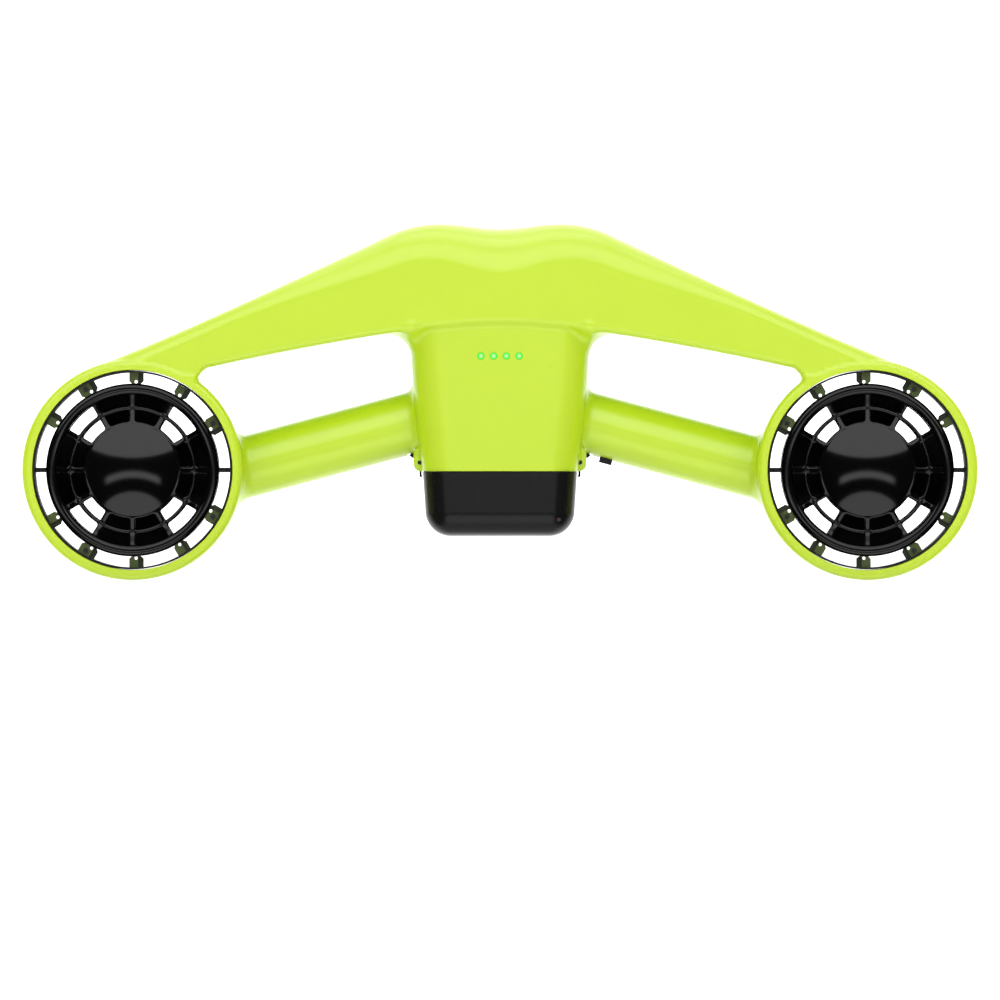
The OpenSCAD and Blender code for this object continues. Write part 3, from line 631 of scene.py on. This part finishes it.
def shell_tools():
    """Cutters for the openings of the two shells."""
    tools = [box_object("mouth", (-60, -60, MOUTH_Z - 30), (60, 60, MOUTH_Z))]
    tools.append(rod("insert_hole", INSERT_R, CROWN_Z - 13, CROWN_Z + 10, (0, 0, 0)))
    for x, z in lamp_places():
        tools.append(rod("lamp_hole", LAMP_R + 0.15, -50, -28, (x, 0, z), "Y"))
    low, high = mm_box("thumb_button")
    button_x = low[0] + 3.5 * math.cos(GRIP_TILT) + (GRIP_R + 2.4) * math.sin(GRIP_TILT)
    place = (button_x, 0, GRIP_AT[1] - (button_x - GRIP_AT[0]) * math.tan(GRIP_TILT))
    corners = (-BUTTON_SLOT_HALF, low[1] + 0.7, -24), (BUTTON_SLOT_HALF, high[1] - 0.7, -12)
    tools.append(box_object("button_slot", *corners, GRIP_TILT, place))
    for side in (-1, 1):
        tools.append(bore_tool(side))
        tools.append(mirrored_box("barrel_pocket", BARREL_POCKET, side))
        tools.append(mirrored_box("tab_slot", TAB_SLOT, side))
        tools.append(mirrored_box("cable_slot", CABLE_SLOT, side))
        tools.append(rod("pin_hole", PIN_HOLE_R, -20, 20, (side * PIN_AT[0], 0, PIN_AT[1]), "Y"))
        for x, z, end in SCREW_SPOTS:
            tools.append(rod("screw_hole", SCREW_HOLE_R, -12, end, (side * x, 0, z), "Y"))
            tools.append(rod("screw_recess", SCREW_HEAD_R, end - SCREW_HEAD_IN, 60, (side * x, 0, z), "Y"))
    return tools


def screw_bosses():
    bosses = [rod("insert_boss", 7, 178, CROWN_Z - SADDLE - 1, (0, 0, 0))]
    for side in (-1, 1):
        for x, z, end in SCREW_SPOTS:
            bosses.append(rod("boss", BOSS_R, 1 - end, end - 1, (side * x, 0, z), "Y"))
    return bosses


def true_normals(obj, field):
    """Shades a mesh with the field's own normals wherever its faces lie along the field's surface."""
    mesh = obj.data
    points = np.empty(len(mesh.vertices) * 3)
    mesh.vertices.foreach_get("co", points)
    x, y, z = (points.reshape(-1, 3) / MM).T
    reach = 0.2
    slope = np.stack(
        [
            field(x + reach, y, z) - field(x - reach, y, z),
            field(x, y + reach, z) - field(x, y - reach, z),
            field(x, y, z + reach) - field(x, y, z - reach),
        ],
        1,
    )
    slope /= np.maximum(np.linalg.norm(slope, axis=1), 1e-6)[:, None]
    flat = np.empty(len(mesh.polygons) * 3)
    mesh.polygons.foreach_get("normal", flat)
    sizes = np.empty(len(mesh.polygons), int)
    mesh.polygons.foreach_get("loop_total", sizes)
    corners = np.empty(len(mesh.loops), int)
    mesh.loops.foreach_get("vertex_index", corners)
    face_normal = np.repeat(flat.reshape(-1, 3), sizes, axis=0)
    normal = slope[corners]
    along = (normal * face_normal).sum(1) > math.cos(math.radians(25))
    near = np.abs(field(x, y, z))[corners] < 0.05
    mesh.normals_split_custom_set(np.where((along & near)[:, None], normal, face_normal))


def shells():
    step = 1.5
    spare = 3.0
    low = (shell_low[0] - spare, -RING_HALF - spare, -spare)
    high = (shell_high[0] + spare, RING_HALF + spare, CROWN_Z + spare)
    outside, outer_quads = surface(housing, low, high, step)
    inside, inner_quads = surface(hollow, low, high, 2 * step)
    points = np.concatenate([outside, inside])
    quads = np.concatenate([outer_quads, inner_quads[:, ::-1] + len(outside)])
    far = 300
    for name, side in (("rear_shell", -1), ("front_shell", 1)):
        shell = new_object(name + "_form", points, quads)
        ends = sorted((side * SEAM, -side * far))
        boolean(shell, screw_bosses(), "UNION")
        boolean(shell, [box_object("half", (-far, ends[0], -far), (far, ends[1], far))] + shell_tools())
        shade_smooth(shell)
        true_normals(shell, walls)
        give(shell, "lime_plastic")
        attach(shell, "housing")
        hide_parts(name)


# ---------------------------------------------------------------- guards

GUARD_BACK = 36.2
HUB_R = 25.0
DOME_R = 65.0
DOME_TOP = 44.6
SPOKE_TOP = 39.6
VALLEY_R = 33.7
VALLEY_DEPTH = 1.6
CELLS_R = 41.6
RIM_R = 47.0
RIM_TOP = 43.2
SPOKES = 12
SPOKE_HALF = 1.55


def guard(x, y, z):
    """Guard with its outer face towards +Z."""
    r = np.hypot(x, y)
    dome = np.sqrt(np.maximum(DOME_R**2 - r**2, 0)) + DOME_TOP - DOME_R
    falling = ease(share(r, HUB_R, VALLEY_R))
    rising = ease(share(r, VALLEY_R, CELLS_R))
    face = np.where(r < HUB_R, dome, SPOKE_TOP - 2.2 * falling + 3.6 * rising)
    back = GUARD_BACK - VALLEY_DEPTH * falling + VALLEY_DEPTH * rising
    web = np.maximum(z - face, back - z)
    spacing = 2 * np.pi / SPOKES
    turn = np.arctan2(y, x)
    from_spoke = r * np.abs(np.sin(turn - spacing * np.round(turn / spacing)))
    beside = SPOKE_HALF - from_spoke
    outer = rounded(beside, np.maximum(VALLEY_R + 1 - r, r - CELLS_R), 1.2)
    inner = rounded(beside, np.maximum(HUB_R + 1.5 - r, r - VALLEY_R + 1), 1.0)
    web = cut(web, np.minimum(outer, inner), 0.7)
    rim = rounded(np.maximum(CELLS_R - 0.4 - r, r - RIM_R), np.maximum(GUARD_BACK - z, z - RIM_TOP), 2.2)
    skirt = np.maximum(np.maximum(CELLS_R - 0.4 - r, r - RIM_R), np.maximum(GUARD_BACK - z, z - 39))
    return join(join(np.maximum(web, r - CELLS_R), rim, 0.9), skirt, 0.1)


def guards():
    step = 0.6
    points, quads = surface(guard, (-48, -48, 33), (48, 48, 46), step)
    for side, name in ((-1, "left"), (1, "right")):
        for way, end in ((-1, "rear"), (1, "front")):
            placed = np.stack([points[:, 0], points[:, 2] * way, points[:, 1]], 1)
            obj = new_object(f"{name}_{end}_guard_form", placed + [side * THRUSTER_X, 0, AXIS_Z], quads)
            if way > 0:
                obj.data.flip_normals()
            shade_smooth(obj)
            node = f"{name}_{end}_guard"
            give(obj, SLOT[node])
            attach(obj, "housing")
            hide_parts(node)


# ---------------------------------------------------------------- brackets between ring and duct

BRACKET_OUT = 53.05
BRACKET_IN = 47.05
BRACKET_Y = (-40.0, -28.0)
BRACKET_STEP = 3.0
SCREWED = (2, 5, 7, 10)
DRAIN_AT = (48.0, 2.0)
DRAIN_R = 0.9
BRACKET_SCREW_AT = 50.5


def at_turn(side, index):
    """Placing of a bracket's own directions: u outwards, v along the ring, w along Y."""
    turn = math.radians(30 * index)
    way = 1 if index < 6 else -1

    def place(u, v, w):
        x = u * math.cos(turn) - way * v * math.sin(turn)
        down = u * math.sin(turn) + way * v * math.cos(turn)
        return side * (THRUSTER_X + x), w, AXIS_Z - down

    return place


def bracket_outline(start, end, low_chamfer, high_chamfer):
    """Outline between the ring's liner and the duct, with chamfered corners at the duct."""

    def on(r, v):
        return math.sqrt(r * r - v * v)

    outer = [(on(BRACKET_OUT, v), v) for v in np.linspace(start, end, 5)]
    inner = [(on(BRACKET_IN, v), v) for v in np.linspace(end - high_chamfer, start + low_chamfer, 5)]
    high = [(on(BRACKET_IN, end) + high_chamfer, end)] if high_chamfer else []
    low = [(on(BRACKET_IN, start) + low_chamfer, start)] if low_chamfer else []
    return outer + high + inner + low


def brackets():
    for side, name in ((-1, "left"), (1, "right")):
        blocks, steps, holes = [], [], []
        for index in (1, 2, 3, 4, 5, 7, 8, 9, 10, 11):
            place = at_turn(side, index)
            reach = 3.9 if index in SCREWED else 1.7
            blocks.append(prism("block", bracket_outline(-reach, 3.2, 1.3, 0), *BRACKET_Y, place))
            low_y = BRACKET_Y[0] + BRACKET_STEP
            steps.append(prism("step", bracket_outline(3.1, 6.1, 0, 1.6), low_y, BRACKET_Y[1], place))
            for at, r, needed in ((DRAIN_AT, DRAIN_R, True), ((BRACKET_SCREW_AT, 0), 0.9, index in SCREWED)):
                if needed:
                    x, _, z = place(*at, 0)
                    holes.append(rod("hole", r, -50, -20, (x, 0, z), "Y", 24))
        obj = join_objects(blocks, f"{name}_bracket_forms")
        boolean(obj, [join_objects(steps, "steps")], "UNION")
        boolean(obj, holes)
        shade_smooth(obj, 35)
        node = f"{name}_duct_brackets"
        give(obj, SLOT[node])
        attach(obj, "housing")
        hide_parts(node)


# ---------------------------------------------------------------- battery tray

TRAY_ROUND = 14.0
TRAY_WALL = 2.5
TRAY_RIM = 2.6
TRAY_LEAN = (1.4, 1.2)
CASE_HALF = (34.72, 30.92)
CASE_CORNERS = (10, 4, 5)
LATCH_CATCH = ((40.6, -9.5, 53.6), (44.0, 9.5, 57.4))


def tray_form(x, y, z, inset=0.0):
    """Rounded box that widens towards its rim."""
    waist = tray_low[2] + TRAY_ROUND
    risen = share(z, waist, tray_high[2]) - 1
    u = np.abs(x) - (tray_high[0] + TRAY_LEAN[0] * risen) + TRAY_ROUND
    v = np.abs(y) - (tray_high[1] + TRAY_LEAN[1] * risen) + TRAY_ROUND
    w = waist - z
    outside = np.sqrt(np.maximum(u, 0) ** 2 + np.maximum(v, 0) ** 2 + np.maximum(w, 0) ** 2)
    return outside + np.minimum(np.maximum(np.maximum(u, v), w), 0) - TRAY_ROUND + inset


def tray_outside(x, y, z):
    return rounded(tray_form(x, y, z), z - tray_high[2], 0.25)


def tray_inside(x, y, z):
    return np.maximum(tray_form(x, y, z, TRAY_WALL), z - tray_high[2] + TRAY_RIM)


def corner_arc(x, y, r, start):
    return [(x + r * math.cos(a), y + r * math.sin(a)) for a in np.radians(np.linspace(start, start + 90, 9))]


def case_outline():
    """Plan of the battery's case: one large round corner, one chamfer and two small round corners."""
    a, b = CASE_HALF
    big, small, chamfer = CASE_CORNERS
    return (
        corner_arc(a - big, -b + big, big, -90)
        + corner_arc(a - small, b - small, small, 0)
        + [(-a + chamfer, b), (-a, b - chamfer)]
        + corner_arc(-a + small, -b + small, small, 180)
    )


def battery_tray():
    step = 0.8
    low, high = tray_low - 3, tray_high + 3
    outside, outer_quads = surface(tray_outside, low, high, step)
    inside, inner_quads = surface(tray_inside, low, high, 1.5)
    quads = np.concatenate([outer_quads, inner_quads[:, ::-1] + len(outside)])
    tray = new_object("battery_tray_form", np.concatenate([outside, inside]), quads)
    case_hole = prism("case_hole", case_outline(), tray_high[2] - 6, tray_high[2] + 5, lambda u, v, w: (u, v, w))
    lamp_low, lamp_high = mm_box("battery_light")
    lamp = (lamp_low + lamp_high) / 2
    lamp_hole = rod("lamp_hole", (lamp_high[0] - lamp_low[0]) / 2, -50, -31, (lamp[0], 0, lamp[2]), "Y")
    catches = [mirrored_box("catch", LATCH_CATCH, side) for side in (-1, 1)]
    boolean(tray, [case_hole, lamp_hole] + catches)
    shade_smooth(tray)
    true_normals(tray, tray_outside)
    give(tray, SLOT["battery_tray"])
    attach(tray, "battery")
    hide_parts("battery_tray")


# ---------------------------------------------------------------- propellers

HUB_OUT = 24.4
SHAFT_R = 2.5
HUB_Y = (2.0, 24.0)
BLADE_Y = (4.0, 23.0)
BLADE_ROOT = 23.6
BLADE_TIP = 44.4
BLADE_SWEEP = 59.0
BLADE_HALF = 1.0
BLADES = 4


def blade(side, index):
    """One helical blade with thin rounded edges, wider at its tip."""
    along, across = 28, 12
    points = []
    for face in (1, -1):
        for i in range(along + 1):
            t = i / along
            for j in range(across + 1):
                q = j / across
                r = mix(BLADE_ROOT, BLADE_TIP, q)
                turn = math.radians(360 * index / BLADES + BLADE_SWEEP * (t - 0.5))
                thick = BLADE_HALF * (1 - 0.55 * q) * math.sqrt(max(0.02, 1 - (2 * t - 1) ** 2))
                y = mix(BLADE_Y[0] + BLADE_HALF, BLADE_Y[1] - BLADE_HALF, t) + face * thick
                points.append((side * (THRUSTER_X + r * math.cos(turn)), y, AXIS_Z - r * math.sin(turn)))
    row = across + 1
    layer = row * (along + 1)
    faces = []
    for i in range(along):
        for j in range(across):
            a = i * row + j
            faces.append((a, a + 1, a + row + 1, a + row))
            faces.append((layer + a, layer + a + row, layer + a + row + 1, layer + a + 1))
    rim = list(range(row)) + [i * row + across for i in range(1, along + 1)]
    rim += [along * row + j for j in range(across - 1, -1, -1)] + [i * row for i in range(along - 1, 0, -1)]
    for a, b in zip(rim, rim[1:] + rim[:1]):
        faces.append((a, b, layer + b, layer + a))
    return outward(new_object("blade", points, faces))


def propellers():
    for side, name in ((-1, "left"), (1, "right")):
        at = (side * THRUSTER_X, 0, AXIS_Z)
        edge = 0.5
        inner = HUB_OUT - 2
        profile = [
            (HUB_OUT - edge, HUB_Y[0]), (HUB_OUT, HUB_Y[0] + edge), (HUB_OUT, HUB_Y[1]), (SHAFT_R, HUB_Y[1]),
            (SHAFT_R, HUB_Y[0]), (6, HUB_Y[0]), (6, HUB_Y[1] - 4), (inner, HUB_Y[1] - 4), (inner, HUB_Y[0]),
        ]
        hub = ring_lathe(f"{name}_propeller_form", profile, 96, at)
        boolean(hub, [blade(side, index) for index in range(BLADES)], "UNION")
        shade_smooth(hub, 40)
        node = f"{name}_propeller"
        give(hub, SLOT[node])
        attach(hub, f"{name}_rotor")
        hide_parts(node)


# ---------------------------------------------------------------- charge lights

LAMP_RISE = 0.35
LAMP_DEPTH = 4.0


def charge_lights():
    """Four domed lamps; the glow's middle and rim follow a share stored on the mesh."""
    face = mm_box("charge_lights")[0][1]
    steps = 10
    objects = []
    for x, at_z in lamp_places():
        dome = [(LAMP_R * math.sin(a), LAMP_RISE * math.cos(a)) for a in np.linspace(0, math.pi / 2, steps)]
        profile = [(r, h - LAMP_RISE) for r, h in dome] + [(LAMP_R, -LAMP_DEPTH), (0, -LAMP_DEPTH)]
        profile = [(r, -h) for r, h in profile]
        objects.append(lathe("lamp", profile, 32, (x, face, at_z), "Y"))
    obj = join_objects(objects, "charge_light_lamps")
    points = np.array([v.co for v in obj.data.vertices]) / MM
    reach = np.min([np.hypot(points[:, 0] - x, points[:, 2] - z) for x, z in lamp_places()], axis=0) / LAMP_R
    attribute = obj.data.attributes.new("centre_share", "FLOAT", "POINT")
    attribute.data.foreach_set("value", reach.astype(np.float32))
    edit(obj, lambda bm: bmesh.ops.recalc_face_normals(bm, faces=bm.faces))
    shade_smooth(obj, 50)
    give(obj, "green_light")
    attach(obj, "housing")
    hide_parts("charge_lights")


shells()
guards()
brackets()
battery_tray()
propellers()
charge_lights()

BEVELLED = {
    "duct": 0.35, "latch": 0.25, "thumb_button": 0.9, "spinner": 0.3, "motor_housing": 0.3,
    "motor_cover": 0.3, "battery_case": 0.5, "battery_plug": 0.4, "liner": 0.25,
}


def soften(obj, width):
    """Small rounding on the sharp edges of a moulded piece."""
    bevel = obj.modifiers.new("edges", "BEVEL")
    bevel.width = width * MM
    bevel.segments = 2
    bevel.limit_method = "ANGLE"
    bevel.angle_limit = math.radians(40)
    bevel.harden_normals = True


for node, obj in NODES.items():
    give(obj, SLOT[node])
    shade_smooth(obj, 35)
    kind = node.replace("left_", "").replace("right_", "")
    if kind in BEVELLED:
        soften(obj, BEVELLED[kind])

# ---------------------------------------------------------------- camera, floor and light

VIEW_CENTRE_Z = 0.04365
VIEW_WIDTH = 0.545
LENS = 1500.0
SENSOR = 36.0
CLIP_END = 100
FLOOR_HALF = 40.0
FLOOR_DROP = 0.0005
FLOOR_GLOW = 0.2


def camera():
    data = bpy.data.cameras.new("camera")
    data.lens = LENS
    data.sensor_width = SENSOR
    obj = bpy.data.objects.new("camera", data)
    distance = VIEW_WIDTH * LENS / SENSOR
    obj.location = (0, -distance, VIEW_CENTRE_Z)
    obj.rotation_euler = (math.radians(90), 0, 0)
    bpy.context.scene.collection.objects.link(obj)
    bpy.context.scene.camera = obj
    data.clip_end = CLIP_END


def floor():
    mesh = bpy.data.meshes.new("floor")
    s = FLOOR_HALF
    mesh.from_pydata([(-s, -s, 0), (s, -s, 0), (s, s, 0), (-s, s, 0)], [], [(0, 1, 2, 3)])
    obj = bpy.data.objects.new("floor", mesh)
    obj.location.z = -FLOOR_DROP
    obj.visible_glossy = False
    bpy.context.scene.collection.objects.link(obj)
    material = plastic("floor_white", (0.93, 0.93, 0.93), 0.8, grain=0.0, mottle=0.0, specular=0.1)
    shader = material.node_tree.nodes["Principled BSDF"]
    shader.inputs["Emission Color"].default_value = (1, 1, 1, 1)
    shader.inputs["Emission Strength"].default_value = FLOOR_GLOW
    mesh.materials.append(material)


def area_light(name, place, target, size, power):
    data = bpy.data.lights.new(name, "AREA")
    data.shape = "RECTANGLE"
    data.size, data.size_y = size
    data.energy = power
    obj = bpy.data.objects.new(name, data)
    obj.location = place
    obj.rotation_euler = (Vector(target) - Vector(place)).to_track_quat("-Z", "Y").to_euler()
    bpy.context.scene.collection.objects.link(obj)


# Brightness of each part of the studio
SOFTBOX = 2.5
STRIP = 2.6
LOW_PATCH = 2.0
FLAG = 0.012
SURROUND = 1.08
BEHIND = 2.0
# Where each part's soft edges start and end, as heights of its direction: 1 is straight up
SOFTBOX_EDGE = (0.19, 0.22)
STRIP_LOW_EDGE = (-0.16, -0.09)
STRIP_HIGH_EDGE = (-0.06, 0.02)
LOW_PATCH_EDGE = (-0.37, -0.34)
STEEP = (0.75, 0.95)
# How far each part reaches round to the sides: 1 is straight in front, -1 straight behind
SOFTBOX_SIDES = (0.55, 0.75)
STRIP_SIDES = (0.87, 0.92)
LOW_PATCH_SIDES = (0.84, 0.88)
BEHIND_SIDES = (-0.6, -0.3)
FRONT_SIDES = (-0.35, -0.1)
# How far each edge bends down or up towards the sides
SOFTBOX_BEND, LOW_PATCH_BEND = 0.45, 1.2


def sky():
    """White studio, brightest behind; in front a softbox, a strip and a low patch on black."""
    world = bpy.data.worlds.new("world")
    world.use_nodes = True
    tree = world.node_tree
    place = tree.nodes.new("ShaderNodeTexCoord")
    split = tree.nodes.new("ShaderNodeSeparateXYZ")
    tree.links.new(place.outputs["Generated"], split.inputs["Vector"])

    def maths(operation, *values):
        node = tree.nodes.new("ShaderNodeMath")
        node.operation = operation
        for socket, value in zip(node.inputs, values):
            if isinstance(value, (int, float)):
                socket.default_value = value
            else:
                tree.links.new(value, socket)
        return node.outputs["Value"]

    def ramp(output, start, end, low=0.0, high=1.0):
        node = tree.nodes.new("ShaderNodeMapRange")
        node.interpolation_type = "SMOOTHSTEP"
        for name, value in (("From Min", start), ("From Max", end), ("To Min", low), ("To Max", high)):
            node.inputs[name].default_value = value
        tree.links.new(output, node.inputs["Value"])
        return node.outputs["Result"]

    x, y, z = (split.outputs[axis] for axis in "XYZ")
    level = maths("SQRT", maths("ADD", maths("MULTIPLY", x, x), maths("MULTIPLY", y, y)))
    ahead = maths("DIVIDE", maths("MULTIPLY", y, -1), maths("MAXIMUM", level, 0.001))
    edge = maths("SUBTRACT", z, maths("MULTIPLY", maths("SUBTRACT", 1, ahead), SOFTBOX_BEND))
    softbox = maths("MULTIPLY", ramp(edge, *SOFTBOX_EDGE), ramp(ahead, *SOFTBOX_SIDES))
    bent = maths("ADD", z, maths("SUBTRACT", 1, ahead))
    strip = maths("MULTIPLY", ramp(bent, *STRIP_LOW_EDGE), ramp(bent, *STRIP_HIGH_EDGE, 1.0, 0.0))
    strip = maths("MULTIPLY", strip, ramp(ahead, *STRIP_SIDES))
    low_edge = maths("ADD", z, maths("MULTIPLY", maths("SUBTRACT", 1, ahead), LOW_PATCH_BEND))
    low_patch = maths("MULTIPLY", ramp(low_edge, *LOW_PATCH_EDGE, 1.0, 0.0), ramp(ahead, *LOW_PATCH_SIDES))
    front = FLAG
    for part, level_of_part in ((softbox, SOFTBOX), (strip, STRIP), (low_patch, LOW_PATCH)):
        front = maths("ADD", maths("MULTIPLY", part, level_of_part), front)
    steep = ramp(maths("ABSOLUTE", z), *STEEP, 1.0, 0.0)
    behind = maths("MULTIPLY", ramp(ahead, *BEHIND_SIDES, 1.0, 0.0), steep)
    around = maths("ADD", maths("MULTIPLY", behind, BEHIND - SURROUND), SURROUND)
    in_front = maths("MULTIPLY", ramp(ahead, *FRONT_SIDES), steep)
    change = maths("MULTIPLY", in_front, maths("SUBTRACT", front, around))
    tree.links.new(maths("ADD", change, around), tree.nodes["Background"].inputs["Color"])
    bpy.context.scene.world = world


def light():
    sky()
    area_light("over", (0, 0, 1.3), (0, 0, 0.1), (1.0, 0.6), 3)


camera()
floor()
light()
bpy.context.scene.view_settings.view_transform = "Standard"
